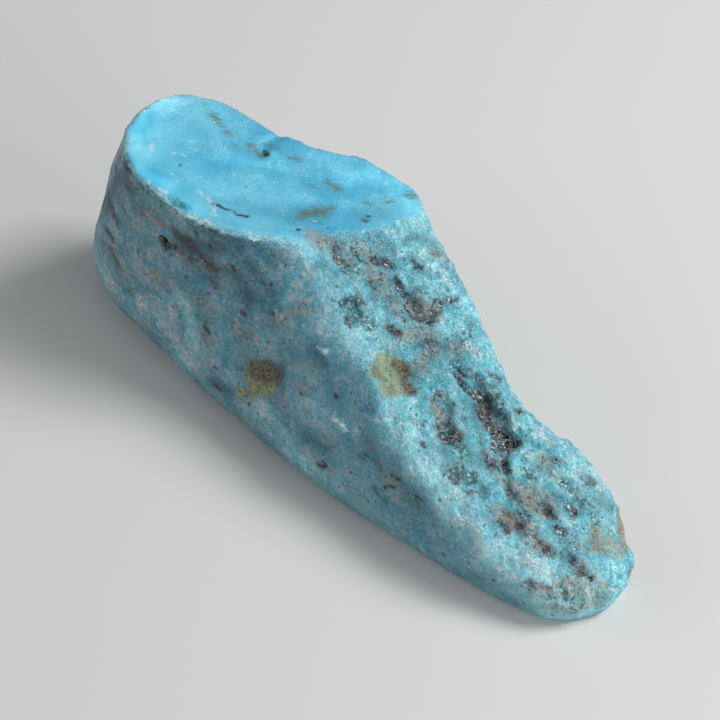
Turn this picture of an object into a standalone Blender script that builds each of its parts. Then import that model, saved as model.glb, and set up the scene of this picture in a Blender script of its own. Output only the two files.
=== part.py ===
"""Raw turquoise nugget: one boot-shaped stone with a sawn top on its tall heel.

Metres, +Z up.  The stone lies on its flat sole at z = 0, and the origin is under the middle of
its bounding box.  X runs along its length, from the tall heel at -X to the low toe at +X.  The
smooth side faces -Y and the broken side faces +Y.
"""
from collections import namedtuple

import bmesh
import bpy
from mathutils import Vector

MM = 0.001

# The sawn top is one plane through the corner where the sloping instep starts.  It falls away
# by these much for each unit towards the toe and towards the broken side.
SAW_CORNER = (-10.2 * MM, 0.4 * MM, 24.0 * MM)
SAW_FALL_TO_TOE = 0.12
SAW_FALL_TO_BROKEN_SIDE = 0.17

# The stone lies on a flat sole at this height.
SOLE_HEIGHT = 0.0

# The broken side has split along three flat faces, each given by a point on it and the way
# that it faces.
BACK_SPLIT_POINT = (-31.0 * MM, 9.6 * MM, 12.0 * MM)
BACK_SPLIT_FACING = (-0.50, 0.82, -0.28)
FLANK_SPLIT_POINT = (-4.0 * MM, 15.0 * MM, 9.0 * MM)
FLANK_SPLIT_FACING = (0.10, 0.94, -0.32)
TOE_SPLIT_POINT = (27.0 * MM, 10.4 * MM, 4.5 * MM)
TOE_SPLIT_FACING = (0.22, 0.88, -0.42)

# Lumps left by weathering: how far apart they are and how high they stand.
LUMP_SPACING = 9.0 * MM
LUMP_HEIGHT = 1.2 * MM

SMOOTHING_LEVELS = 2
CUTTER_SIZE = 160.0 * MM

TURQUOISE = (0.13, 0.45, 0.60, 1.0)
STONE_ROUGHNESS = 0.55

# One cross-section of the stone.  x is where it stands on the sole, and lean is how far it leans
# towards the toe for each unit of height.  Its ten corners go round from the sole up the smooth
# side, over the top and down the broken side, each as (y, z).  All are in millimetres.  Smoothing
# rounds the corners inwards, so they stand a little outside the stone, and those above the sawn
# plane or below the sole are cut away.
Section = namedtuple("Section", (
    "x", "lean", "sole_near", "near_low", "near_high", "ridge", "crown_near",
    "crown_far", "far_edge", "far_high", "far_low", "sole_far"))

SECTIONS = (
    # the blunt back of the heel
    Section(-43.6, 0.28, (-2.5, 1), (-3.5, 5), (-3.5, 15), (-2.5, 25), (-1, 27),
            (1, 27), (2.5, 25), (3, 15), (3, 5), (2, 1)),
    Section(-41.4, 0.26, (-5.5, -1), (-8, 4), (-7.5, 16), (-5.5, 31), (-2.5, 34),
            (2.5, 34), (5.5, 30), (6.5, 17), (6.5, 5), (4.5, -1)),
    # the tall heel
    Section(-36.2, 0.16, (-8.5, -2), (-11.2, 4), (-10, 17), (-8, 33), (-3.5, 37),
            (3.5, 37), (8.4, 32), (9, 18), (9.5, 5), (7.5, -2)),
    Section(-27.0, 0.02, (-9.5, -2), (-11.4, 4), (-10, 17), (-8, 34), (-3, 38),
            (4, 38), (9.2, 33), (10.5, 18), (11, 5), (9, -2)),
    Section(-19.0, 0.0, (-10, -2), (-11.6, 4), (-9.2, 16), (-5, 32), (-1, 37),
            (6, 37), (12.6, 31), (14, 17), (13, 5), (10, -2)),
    Section(-11.0, 0.0, (-10.6, -2), (-12, 4), (-7, 15), (-0.8, 24.4), (3, 25.6),
            (9, 26), (17.8, 26.6), (18.5, 16), (16, 5), (12, -2)),
    # the sloping instep
    Section(-4.0, 0.0, (-10.8, -2), (-12, 4), (-7.8, 13), (-2, 20), (3, 20),
            (9, 20), (16.6, 22), (17, 14), (16, 4), (12, -2)),
    Section(5.0, 0.0, (-10.2, -2), (-11.2, 3.5), (-8.4, 10.5), (-4.5, 15.6), (1, 16.4),
            (6.5, 16.8), (13.4, 19.2), (14.0, 12), (14, 4), (11, -2)),
    Section(13.0, 0.0, (-9.2, -2), (-10.2, 3.5), (-8.6, 8.8), (-6, 13), (-1, 13.6),
            (4, 12.6), (8.8, 14.2), (11, 9.5), (12, 4), (10, -2)),
    Section(19.0, 0.0, (-8.4, -2), (-9.4, 3), (-8.6, 7.5), (-6.6, 11.6), (-1.5, 12),
            (3.6, 11), (7.2, 11.4), (10.2, 8), (11.4, 3.5), (9.5, -2)),
    # the low toe
    Section(24.0, 0.0, (-7.6, -2), (-8.8, 3), (-8.2, 6.8), (-6.2, 10.4), (-1.5, 11),
            (4, 10.8), (9.2, 11.0), (11.4, 7.6), (11.4, 3.5), (9.2, -2)),
    Section(30.0, 0.0, (-5.8, -2), (-7.2, 2.5), (-6.6, 5.2), (-5.2, 8.2), (-1, 9.2),
            (4, 9.2), (8.2, 8.8), (10.2, 6.0), (10.0, 3), (8.3, -2)),
    Section(35.4, 0.0, (-3.0, -2), (-4.2, 1.8), (-4.0, 4), (-3, 5.8), (0, 6.6),
            (3.4, 6.6), (6.6, 6.0), (7.8, 4.2), (7.8, 2), (6.2, -2)),
    Section(38.8, 0.0, (0.2, -1.5), (-0.8, 1), (-0.4, 2.4), (0.5, 3.4), (2, 3.8),
            (4, 3.8), (5.3, 3.3), (6.2, 2.2), (5.8, 1), (4.5, -1.5)),
)


def clear_scene():
    for old in list(bpy.data.objects):
        bpy.data.objects.remove(old, do_unlink=True)


def add_object(name, mesh, parent):
    added = bpy.data.objects.new(name, mesh)
    bpy.context.scene.collection.objects.link(added)
    added.parent = parent
    return added


def turquoise_material():
    material = bpy.data.materials.new("turquoise")
    material.use_nodes = True
    shader = material.node_tree.nodes["Principled BSDF"]
    shader.inputs["Base Color"].default_value = TURQUOISE
    shader.inputs["Roughness"].default_value = STONE_ROUGHNESS
    shader.inputs["Metallic"].default_value = 0.0
    return material


def add_ring(bm, section):
    """Draw one cross-section as a closed ring of edges and return the edges."""
    verts = []
    for y, z in section[2:]:
        x = section.x + section.lean * z
        verts.append(bm.verts.new((x * MM, y * MM, z * MM)))
    return [bm.edges.new((before, after)) for before, after in zip(verts, verts[1:] + verts[:1])]


def stone_cage():
    """Bridge the cross-sections into one closed cage."""
    bm = bmesh.new()
    rings = [add_ring(bm, section) for section in SECTIONS]
    for ring, next_ring in zip(rings, rings[1:]):
        bmesh.ops.bridge_loops(bm, edges=ring + next_ring)
    for end_ring in (rings[0], rings[-1]):
        bmesh.ops.contextual_create(bm, geom=end_ring)
    bmesh.ops.recalc_face_normals(bm, faces=bm.faces)
    mesh = bpy.data.meshes.new("nugget")
    bm.to_mesh(mesh)
    bm.free()
    return mesh


def round_off(stone):
    """Smooth the cage into a rounded stone."""
    smooth = stone.modifiers.new("rounded", "SUBSURF")
    smooth.levels = SMOOTHING_LEVELS
    smooth.render_levels = SMOOTHING_LEVELS


def add_lumps(stone):
    """Push the surface in and out by a slow, fixed noise."""
    noise = bpy.data.textures.new("lumps", "CLOUDS")
    noise.noise_scale = LUMP_SPACING
    lumps = stone.modifiers.new("lumps", "DISPLACE")
    lumps.texture = noise
    lumps.texture_coords = "LOCAL"
    lumps.strength = LUMP_HEIGHT


def cut_flat(stone, name, point, facing):
    """Cut the stone flat through a point, and take away all that lies on the facing side."""
    bm = bmesh.new()
    bmesh.ops.create_cube(bm, size=CUTTER_SIZE)
    mesh = bpy.data.meshes.new(name)
    bm.to_mesh(mesh)
    bm.free()
    cutter = add_object(name, mesh, stone.parent)
    facing = Vector(facing).normalized()
    cutter.rotation_mode = "QUATERNION"
    cutter.rotation_quaternion = facing.to_track_quat("Z", "Y")
    cutter.location = Vector(point) + facing * (CUTTER_SIZE / 2.0)
    cutter.hide_render = True
    cutter.display_type = "WIRE"

    cut = stone.modifiers.new(name, "BOOLEAN")
    cut.operation = "DIFFERENCE"
    cut.solver = "EXACT"
    cut.object = cutter


def centre_over_origin(stone):
    """Move the stone and its cutters together, so that its box stands over the origin."""
    bpy.context.view_layer.update()
    finished = stone.evaluated_get(bpy.context.evaluated_depsgraph_get())
    corners = [Vector(corner) for corner in finished.bound_box]
    lowest = Vector(min(corner[axis] for corner in corners) for axis in range(3))
    highest = Vector(max(corner[axis] for corner in corners) for axis in range(3))
    middle = (lowest + highest) / 2.0
    stone.parent.location = (-middle.x, -middle.y, -lowest.z)
    bpy.context.view_layer.update()


def build_nugget():
    holder = add_object("nugget frame", None, None)
    stone = add_object("nugget", stone_cage(), holder)
    stone.data.materials.append(turquoise_material())
    round_off(stone)
    add_lumps(stone)
    cut_flat(stone, "back split", BACK_SPLIT_POINT, BACK_SPLIT_FACING)
    cut_flat(stone, "flank split", FLANK_SPLIT_POINT, FLANK_SPLIT_FACING)
    cut_flat(stone, "toe split", TOE_SPLIT_POINT, TOE_SPLIT_FACING)
    cut_flat(stone, "saw cut", SAW_CORNER, (SAW_FALL_TO_TOE, SAW_FALL_TO_BROKEN_SIDE, 1.0))
    cut_flat(stone, "flat sole", (0.0, 0.0, SOLE_HEIGHT), (0.0, 0.0, -1.0))
    centre_over_origin(stone)


def main():
    clear_scene()
    build_nugget()


main()
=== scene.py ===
# Raw turquoise nugget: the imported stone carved, chipped and coloured, with quartz grains in its hollows.
import math
import random

import bmesh
import bpy
import numpy as np
from mathutils import Matrix, Vector, noise
from mathutils.bvhtree import BVHTree
from mathutils.kdtree import KDTree


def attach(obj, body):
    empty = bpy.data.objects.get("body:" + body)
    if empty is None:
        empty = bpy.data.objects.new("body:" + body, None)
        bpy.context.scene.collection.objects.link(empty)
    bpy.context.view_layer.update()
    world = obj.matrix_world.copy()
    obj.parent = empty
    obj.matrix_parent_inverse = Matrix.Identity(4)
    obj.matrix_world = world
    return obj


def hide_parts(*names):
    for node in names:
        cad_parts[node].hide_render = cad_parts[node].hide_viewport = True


mm = 0.001

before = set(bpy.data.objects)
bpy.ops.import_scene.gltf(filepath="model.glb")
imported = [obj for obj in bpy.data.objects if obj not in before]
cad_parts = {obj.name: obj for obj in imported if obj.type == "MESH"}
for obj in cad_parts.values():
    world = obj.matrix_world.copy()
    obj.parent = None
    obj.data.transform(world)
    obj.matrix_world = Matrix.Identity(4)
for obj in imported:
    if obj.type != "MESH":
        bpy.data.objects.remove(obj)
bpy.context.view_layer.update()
print("frame loaded")

cameraLook = {
    "azimuth": 46.0,          # degrees round the stone, 0 looks along +Y
    "elevation": 50.0,        # degrees above the table
    "distance": 253.0 * mm,
    "aim": Vector((1.72, -3.08, 12.0)) * mm,
    "lens": 110.0,
    "sensor": 36.0,
    "pictureSide": 720,
    "clipStart": 0.01,
}


def cameraAxes():
    azimuth = math.radians(cameraLook["azimuth"])
    elevation = math.radians(cameraLook["elevation"])
    back = Vector((math.sin(azimuth) * math.cos(elevation),
                   -math.cos(azimuth) * math.cos(elevation), math.sin(elevation)))
    right = Vector((math.cos(azimuth), math.sin(azimuth), 0.0))
    return right, back.cross(right), back


def setCamera():
    right, up, back = cameraAxes()
    data = bpy.data.cameras.new("camera")
    data.lens = cameraLook["lens"]
    data.sensor_width = cameraLook["sensor"]
    data.clip_start = cameraLook["clipStart"]
    camera = bpy.data.objects.new("camera", data)
    camera.location = cameraLook["aim"] + back * cameraLook["distance"]
    camera.rotation_mode = "QUATERNION"
    camera.rotation_quaternion = Matrix((right, up, back)).transposed().to_quaternion()
    bpy.context.scene.collection.objects.link(camera)
    bpy.context.scene.camera = camera


def sightLine(across, down):
    # the line of sight through one point of the camera's picture
    right, up, back = cameraAxes()
    focal = cameraLook["lens"] / cameraLook["sensor"] * cameraLook["pictureSide"]
    middle = cameraLook["pictureSide"] / 2
    way = right * ((across - middle) / focal) - up * ((down - middle) / focal) - back
    return cameraLook["aim"] + back * cameraLook["distance"], way.normalized()


setCamera()
print("camera set")

# Each mark is (half width in mm, then across and down in the camera's picture for each point of its path).
stoneMarks = {
    # green-brown patches of a softer mineral
    "olive": (
        (2.1, 259, 379, 263, 383), (0.7, 246, 394, 256, 393), (0.5, 240, 394, 243, 392),
        (1.7, 384, 366, 397, 370), (1.2, 390, 382, 402, 387), (0.6, 375, 371, 378, 378),
    ),
    # red-brown iron stains
    "rust": (
        (0.7, 267, 367, 279, 370), (0.35, 278, 372, 281, 380), (0.9, 401, 366, 406, 374),
        (0.7, 404, 377, 411, 390), (0.8, 176, 232, 190, 246), (0.4, 176, 246, 190, 258),
        (0.8, 190, 248, 204, 260, 216, 269), (0.9, 272, 368, 278, 376), (1.1, 256, 370, 270, 373),
        (0.3, 276, 376, 278, 384), (0.8, 109, 196, 112, 208, 116, 220), (0.5, 106, 229, 113, 240),
        (0.5, 110, 248, 118, 266), (0.3, 214, 279, 216, 286), (0.3, 120, 200, 127, 216),
        (0.35, 122, 150, 116, 182), (0.3, 113, 186, 108, 212), (0.2, 362, 218, 366, 220),
    ),
    # dark quartz, with grains standing in it
    "quartz": (
        (0.45, 163, 241, 167, 246), (0.3, 169, 247, 173, 250), (0.5, 376, 258, 387, 262),
        (0.25, 358, 250, 360, 256), (0.3, 415, 258, 417, 268), (0.5, 397, 282, 403, 291),
        (0.22, 404, 292, 412, 301), (0.5, 408, 304, 412, 313), (0.75, 414, 314, 430, 319),
        (0.35, 431, 312, 437, 307), (0.18, 439, 304, 457, 302), (0.3, 387, 327, 396, 332),
        (0.16, 341, 300, 340, 308), (0.16, 356, 296, 362, 303), (0.18, 344, 318, 350, 322),
        (0.4, 464, 341, 473, 350), (0.35, 457, 371, 463, 381), (0.45, 464, 383, 472, 393),
        (0.55, 479, 392, 487, 398), (0.45, 478, 400, 484, 412), (0.5, 503, 426, 510, 434),
        (0.5, 486, 402, 493, 410), (0.6, 481, 402, 488, 412), (0.8, 486, 410, 500, 434),
        (0.35, 496, 408, 506, 420), (0.9, 500, 447, 510, 442), (0.4, 500, 449, 507, 452),
        (0.95, 443, 426, 447, 438), (0.5, 452, 428, 460, 438), (0.25, 432, 391, 437, 397),
        (0.18, 448, 466, 452, 476), (0.2, 454, 480, 458, 484), (0.2, 466, 493, 470, 495),
        (0.25, 478, 492, 480, 493), (0.45, 487, 459, 493, 465), (0.35, 495, 467, 500, 472),
        (0.25, 504, 461, 506, 471), (0.4, 514, 409, 517, 413), (0.3, 555, 460, 557, 461),
        (0.4, 515, 493, 521, 503), (0.38, 545, 505, 551, 516), (0.4, 516, 512, 526, 516),
        (0.45, 503, 522, 508, 530), (0.25, 518, 531, 524, 534), (0.45, 571, 506, 577, 512),
        (0.3, 582, 504, 587, 508), (0.45, 557, 526, 564, 534), (0.3, 533, 540, 539, 543),
        (0.4, 544, 549, 552, 553), (0.12, 564, 556, 574, 561), (0.16, 520, 588, 521, 587),
        (0.16, 525, 583, 527, 582), (0.16, 563, 588, 566, 592), (0.2, 568, 599, 573, 601),
        (0.35, 581, 571, 588, 577), (0.4, 629, 571, 634, 575), (0.3, 470, 326, 474, 332),
        (0.25, 492, 376, 495, 380), (0.25, 585, 478, 589, 484), (0.2, 202, 259, 208, 264),
        (0.3, 336, 246, 338, 254), (0.2, 344, 262, 346, 270), (0.2, 372, 282, 376, 286),
        (0.2, 428, 338, 432, 342), (0.25, 448, 366, 452, 372),
    ),
    # grey glassy quartz without grains
    "glass": (
        (1.1, 416, 306, 429, 311), (0.8, 490, 406, 498, 420, 501, 430),
        (0.6, 434, 402, 440, 412, 447, 420), (0.55, 454, 426, 462, 434), (1.05, 526, 495, 542, 507),
        (0.7, 506, 516, 520, 526), (0.6, 536, 546, 546, 546), (0.3, 596, 528, 594, 538, 599, 545),
        (0.4, 540, 584, 546, 588),
    ),
    # deep teal, a little see-through
    "teal": (
        (1.2, 350, 307, 357, 316), (0.8, 350, 320, 368, 323), (0.8, 338, 254, 346, 266),
        (0.6, 352, 264, 362, 272), (0.8, 455, 360, 460, 378), (0.35, 412, 262, 417, 272),
        (0.35, 416, 291, 430, 298), (0.6, 470, 370, 480, 380), (0.6, 490, 390, 500, 400),
        (0.3, 444, 396, 454, 410), (0.4, 516, 452, 524, 458), (0.4, 452, 452, 458, 458),
        (0.7, 458, 442, 464, 452), (0.95, 458, 471, 468, 481), (0.5, 502, 458, 505, 472, 507, 486),
        (0.5, 524, 466, 534, 480), (0.7, 564, 482, 580, 500), (0.5, 590, 506, 598, 520),
        (0.6, 526, 512, 534, 528), (0.5, 566, 540, 576, 550), (0.6, 168, 199, 184, 206),
        (0.5, 140, 188, 160, 204), (0.35, 138, 184, 143, 190), (0.3, 310, 219, 318, 221),
        (0.7, 376, 490, 382, 494), (0.7, 408, 497, 416, 502), (0.5, 362, 456, 370, 458),
        (0.5, 266, 300, 276, 306), (0.5, 196, 316, 206, 322), (0.4, 388, 412, 396, 420),
    ),
    # ash-coloured matrix
    "ash": (
        (0.8, 313, 232, 324, 243), (0.6, 330, 240, 336, 254), (0.6, 344, 246, 350, 256),
        (1.0, 362, 246, 376, 256), (0.8, 366, 266, 380, 276), (0.6, 383, 290, 392, 300),
        (0.6, 396, 310, 404, 318), (1.0, 400, 336, 428, 330), (0.65, 431, 349, 421, 367),
        (0.5, 436, 402, 446, 420), (0.5, 448, 470, 456, 480), (0.6, 484, 456, 500, 462),
        (0.8, 540, 460, 554, 474), (1.3, 520, 490, 546, 508), (1.2, 502, 514, 528, 530),
        (0.8, 532, 540, 552, 552), (0.7, 572, 566, 592, 576), (1.1, 562, 584, 590, 594),
        (0.8, 536, 584, 548, 594), (0.9, 548, 607, 576, 611), (0.9, 578, 606, 604, 599),
        (0.6, 530, 592, 544, 597), (0.5, 596, 582, 603, 586), (0.9, 112, 240, 122, 276),
        (0.8, 500, 478, 520, 486), (0.5, 576, 540, 586, 548), (0.6, 466, 520, 476, 532),
        (0.8, 228, 322, 246, 336), (0.7, 276, 318, 292, 312), (0.6, 318, 462, 328, 472),
        (0.7, 384, 478, 396, 488), (0.5, 196, 300, 204, 306), (0.8, 150, 275, 166, 285),
        (0.6, 150, 215, 162, 225), (0.3, 201, 256, 210, 263, 220, 267), (0.5, 452, 346, 460, 352),
        (0.7, 440, 250, 448, 262), (0.5, 300, 300, 306, 308), (0.5, 300, 384, 310, 376),
    ),
    # smooth grey-green patches
    "silt": (
        (1.0, 609, 540, 618, 548), (0.5, 504, 516, 516, 528), (0.8, 597, 531, 600, 545),
        (0.7, 528, 561, 540, 565), (0.4, 376, 370, 383, 386), (0.3, 386, 363, 394, 365),
        (0.3, 388, 390, 398, 392), (0.5, 536, 434, 548, 440),
    ),
    # limonite crust
    "ochre": (
        (1.0, 619, 504, 622, 530), (0.5, 622, 534, 626, 548),
    ),
    # thin olive smudges on the sawn top
    "smudge": (
        (0.45, 211, 113, 219, 119), (0.35, 222, 126, 230, 133), (0.2, 235, 142, 238, 146),
        (0.55, 250, 144, 262, 153), (0.25, 204, 103, 207, 108), (0.85, 304, 213, 322, 210),
        (0.5, 316, 206, 334, 207), (0.55, 328, 181, 339, 187), (0.25, 306, 182, 318, 186),
        (0.3, 366, 201, 372, 203), (0.25, 383, 200, 392, 200), (0.3, 268, 143, 280, 150),
        (0.25, 290, 156, 300, 160), (0.4, 406, 194, 415, 195),
    ),
    # small dark specks and cracks
    "speck": (
        (0.36, 266, 149, 267, 152), (0.3, 162, 240, 166, 244), (0.22, 168, 246, 173, 250),
        (0.3, 109, 198, 112, 218), (0.18, 304, 435, 310, 445), (0.2, 322, 462, 326, 466),
        (0.15, 320, 470, 321, 471), (0.18, 366, 454, 368, 456), (0.16, 396, 478, 399, 479),
        (0.16, 384, 487, 386, 489), (0.2, 414, 496, 420, 500), (0.15, 270, 312, 273, 315),
        (0.18, 107, 230, 113, 238), (0.26, 180, 163, 180, 163), (0.28, 213, 203, 220, 205),
        (0.18, 220, 205, 229, 209, 238, 214), (0.14, 237, 213, 248, 216), (0.15, 205, 222, 205, 222),
        (0.15, 202, 226, 203, 226), (0.12, 216, 132, 216, 132), (0.12, 247, 183, 247, 184),
        (0.15, 328, 227, 331, 227), (0.15, 368, 215, 372, 214), (0.12, 381, 208, 384, 208),
        (0.12, 297, 228, 301, 228), (0.15, 203, 221, 203, 226), (0.22, 210, 230, 215, 232),
        (0.15, 225, 231, 229, 234), (0.2, 210, 246, 212, 251), (0.14, 196, 232, 198, 235),
        (0.15, 212, 238, 214, 240), (0.2, 233, 266, 234, 270), (0.15, 217, 277, 217, 278),
        (0.2, 242, 312, 245, 314), (0.18, 249, 403, 249, 405), (0.34, 217, 387, 219, 389),
        (0.2, 335, 395, 337, 397), (0.15, 330, 345, 332, 350), (0.3, 318, 465, 324, 468),
        (0.15, 391, 475, 392, 476), (0.2, 386, 486, 394, 488), (0.16, 139, 249, 140, 257),
        (0.3, 124, 164, 130, 171), (0.2, 115, 166, 119, 177), (0.2, 204, 327, 208, 333),
        (0.15, 402, 317, 404, 323), (0.2, 424, 422, 426, 424), (0.18, 422, 442, 425, 447),
        (0.18, 402, 426, 403, 430), (0.18, 452, 402, 454, 405), (0.14, 300, 392, 303, 396),
        (0.14, 350, 470, 352, 473),
    ),
    # bright chipped spots
    "chalk": (
        (0.42, 152, 145, 153, 146), (0.28, 188, 214, 204, 223), (0.3, 244, 230, 252, 240),
        (0.2, 146, 182, 164, 192), (0.2, 198, 190, 208, 198), (0.15, 176, 151, 184, 153),
        (0.2, 214, 214, 214, 204), (0.5, 470, 344, 478, 356), (0.7, 534, 433, 548, 440),
        (0.5, 444, 272, 448, 280), (0.4, 452, 486, 462, 496), (0.3, 336, 418, 350, 430),
        (0.7, 460, 520, 476, 534), (0.7, 525, 561, 544, 566), (0.3, 322, 346, 326, 352),
        (0.4, 508, 574, 516, 580),
    ),
    # hollows cut deep into the stone
    "hollow": (
        (1.2, 460, 374, 474, 390, 488, 404, 498, 418, 506, 432, 510, 444),
        (0.9, 440, 404, 446, 416, 450, 434), (0.7, 500, 450, 505, 470, 508, 494),
        (0.7, 454, 474, 470, 486, 480, 492), (0.6, 505, 518, 520, 526),
        (0.4, 536, 542, 552, 552, 572, 560), (0.6, 546, 506, 552, 516),
        (0.5, 397, 282, 408, 299, 422, 313, 434, 311), (0.6, 376, 259, 386, 263),
        (0.7, 346, 302, 356, 312), (0.6, 163, 242, 174, 250), (0.4, 186, 250, 216, 269),
        (1.0, 262, 148, 278, 136), (0.6, 172, 202, 186, 210),
    ),
    # low ribs that stand beside the hollows
    "rib": (
        (1.3, 446, 374, 460, 396, 476, 424, 488, 446), (1.5, 500, 384, 514, 408, 530, 430),
        (1.4, 424, 420, 440, 450, 452, 466), (1.2, 322, 412, 342, 424, 350, 432),
        (1.6, 566, 440, 592, 474, 606, 500),
    ),
    # broad darker zones: partly a darker tone of the stone and partly painted shade, such as on the steep
    # left end and where the top curves down to its near rim
    "deepAndShaded": (
        (1.2, 176, 234, 192, 246, 212, 258), (1.3, 194, 228, 216, 236, 240, 248),
        (1.2, 240, 244, 276, 256), (1.4, 226, 266, 250, 300), (0.8, 190, 264, 212, 282),
        (1.2, 366, 376, 372, 408), (0.8, 208, 199, 246, 203), (0.75, 246, 204, 322, 210),
        (0.7, 214, 209, 300, 215), (0.6, 206, 216, 238, 224), (0.3, 250, 227, 292, 232),
        (0.8, 410, 236, 426, 234), (0.6, 494, 512, 498, 526), (1.0, 240, 370, 246, 388),
        (0.9, 320, 238, 345, 240), (0.8, 478, 386, 498, 414), (0.7, 500, 508, 518, 512),
        (0.8, 598, 546, 610, 556), (0.8, 592, 496, 606, 506), (0.7, 372, 296, 396, 300),
        (1.0, 380, 234, 388, 246), (1.2, 178, 240, 190, 256), (0.9, 318, 262, 346, 284),
        (0.9, 200, 298, 205, 336), (0.6, 180, 310, 184, 344), (0.8, 312, 350, 326, 364),
        (0.9, 392, 474, 408, 488), (1.6, 105, 150, 103, 190), (0.9, 136, 206, 160, 222),
        (0.8, 124, 158, 130, 172), (1.4, 112, 152, 107, 176, 104, 204), (0.6, 112, 156, 119, 176),
        (1.8, 184, 240, 202, 247, 228, 246), (0.8, 236, 256, 250, 272), (1.2, 216, 384, 244, 394),
        (1.3, 246, 264, 266, 290, 272, 318), (0.5, 284, 348, 326, 366), (2.2, 256, 378, 270, 380),
        (1.0, 304, 440, 326, 446), (0.8, 366, 442, 380, 466, 392, 482), (1.0, 362, 214, 384, 212),
        (1.0, 333, 240, 345, 256), (1.1, 368, 278, 386, 282), (1.5, 424, 346, 452, 348),
        (1.1, 416, 374, 430, 356), (0.8, 486, 404, 500, 430), (0.7, 474, 462, 490, 468),
        (0.8, 556, 500, 566, 504), (0.7, 470, 404, 480, 426), (0.6, 503, 380, 508, 392),
        (1.0, 448, 452, 452, 466),
    ),
    # broad paler zones: partly a paler tone of the stone and partly painted light, such as the light that
    # bounces up onto its lower edges and toe
    "pale": (
        (1.6, 134, 132, 146, 112, 172, 98), (1.2, 142, 172, 166, 184),
        (1.2, 350, 180, 366, 174, 392, 184), (0.6, 214, 156, 276, 160), (1.0, 412, 250, 440, 258),
        (1.2, 522, 534, 538, 542), (1.2, 402, 192, 410, 204),
        (2.8, 110, 282, 126, 306, 150, 338, 180, 366), (2.4, 208, 396, 250, 432, 326, 486),
        (1.1, 396, 536, 430, 556), (1.0, 292, 248, 296, 290), (1.6, 324, 324, 340, 346),
        (1.0, 398, 262, 408, 272), (1.2, 382, 420, 404, 424), (1.5, 408, 476, 440, 474, 458, 480),
        (1.2, 440, 500, 452, 524), (1.5, 528, 462, 548, 470), (2.0, 484, 546, 508, 572, 532, 592),
        (1.6, 540, 598, 566, 606), (2.0, 516, 578, 540, 600), (1.5, 104, 262, 112, 290),
        (1.6, 132, 150, 140, 178), (1.3, 182, 204, 198, 218), (1.3, 311, 402, 326, 416),
        (1.4, 560, 590, 600, 590), (1.2, 614, 560, 620, 572, 612, 590), (1.2, 560, 606, 596, 604),
        (1.0, 506, 408, 526, 432), (1.0, 378, 366, 386, 388), (0.8, 468, 330, 476, 336),
        (1.0, 456, 530, 470, 546), (1.3, 528, 566, 560, 584),
    ),
}

# The edge where the smooth side turns into the rough slope, and the edge where the sawn top is worn away.
ridgePoints = ((296, 242), (322, 290), (350, 345), (366, 395),
               (396, 446), (436, 498), (476, 548), (530, 600))
wornPoints = ((306, 240), (318, 234), (345, 231), (383, 226), (400, 218), (420, 213))

stoneForm = {
    "node": "nugget",
    "weld": 0.02 * mm,
    "flatAngle": 0.6,                    # triangles within this angle of each other are joined
    "flatShape": 1.2,
    "crispAngle": math.radians(32.0),    # edges sharper than this stay crisp
    "rounding": 2,                       # subdivision levels before the mesh is made even
    "meshStep": 0.30 * mm,
    "sawWay": Vector((0.12, 0.17, 1.0)).normalized(),
    "sawReach": 0.16 * mm,               # a point this near the sawn plane is on the sawn top
    "sawFacing": 0.97,
    "rimDepth": 0.45 * mm,               # the rim reaches this far below the sawn plane
    "rimWidth": 1.5 * mm,
    "rimSoft": 0.5 * mm,
    "inland": 6.0 * mm,                  # the sawn top is scooped in full this far from its rim
    "ridgeBlend": 2.4 * mm,              # the smooth side turns rough over this width
    "wornWidth": 2.2 * mm,
    "wornReach": 1.6,                    # wear spreads down the side by this many of its widths
    "wornEdge": 0.15,                    # where it is worn more than this, the top is no longer sawn
    "rubbedFrom": 0.04,
    "rubs": 8,
    "rimRubbedFrom": 0.6,
    "rimRubs": 4,
    "rubShare": 0.5,
    "browPlace": 1.2 * mm,               # the slope is painted brighter this far past the ridge, a painted highlight where the rounded ridge meets the light, and its grain is calmer there
    "browReach": 2.6 * mm,
    "pushRise": (6.0 * mm, 16.0 * mm),   # above this the pushes run along the sawn plane
    "soleFade": (0.1 * mm, 1.6 * mm),    # carving dies out this far above the sole
    "scoop": -0.35,                      # mm that the middle of the sawn top dips
    "wear": -1.00,                       # mm taken off its worn corner
    "smoothLumps": 0.3,                  # share of the lumps that the smooth side has
    "sawnHollows": 0.35,                 # share of the hollows that the sawn top has
    "rimCalm": 0.8,                      # share of the roughness that the rim loses
    "sawnGrain": (0.35, 1.0, 1.0),       # the saw drew its waves out along X
    "chipEdge": (0.05, 0.75),
    "pitDepth": -0.26,                   # mm
    "pitCell": 2.1,                      # mm
    "pitShift": (5, 5, 1),
    "pitShare": 0.45,                    # of the cells, that hold a pit
    "pitRadius": 0.45,                   # of a cell
    "pitStride": 7.3,                    # spreads the cells' numbers
    "hiddenFacing": -0.25,               # a side that faces this far from the camera is hidden
    "clearOfSole": 1.0 * mm,             # hidden marks start this far above the sole
    "clearOfRim": 3.0 * mm,              # and this far below the sawn top
    "shortestRun": 0.2,                  # share of the longest
    "runClimb": 0.7,                     # radians that a hidden mark may climb or fall
    "seed": 11,
    "wanderSeed": 2,
}

# Noises that move the surface: how far in mm, minus is inwards, then lumps in mm, a shift and octaves.
stoneCarving = {
    "lumps": (0.32, 5.0, (3, 1, 7), 2),
    "roughGrain": (0.24, 1.3, (9, 2, 4), 4),
    "smoothDents": (0.12, 3.2, (1, 8, 2), 2),
    "smoothGrain": (0.05, 0.8, (6, 3, 3), 3),
    "sawnWaves": (0.07, 3.5, (2, 2, 9), 2),
    "rimChips": (-0.08, 2.2, (4, 7, 7), 3),
    "quartzFacets": (0.26, 0.8, (1, 1, 1), 1, "VORONOI_F2F1"),
}

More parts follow.
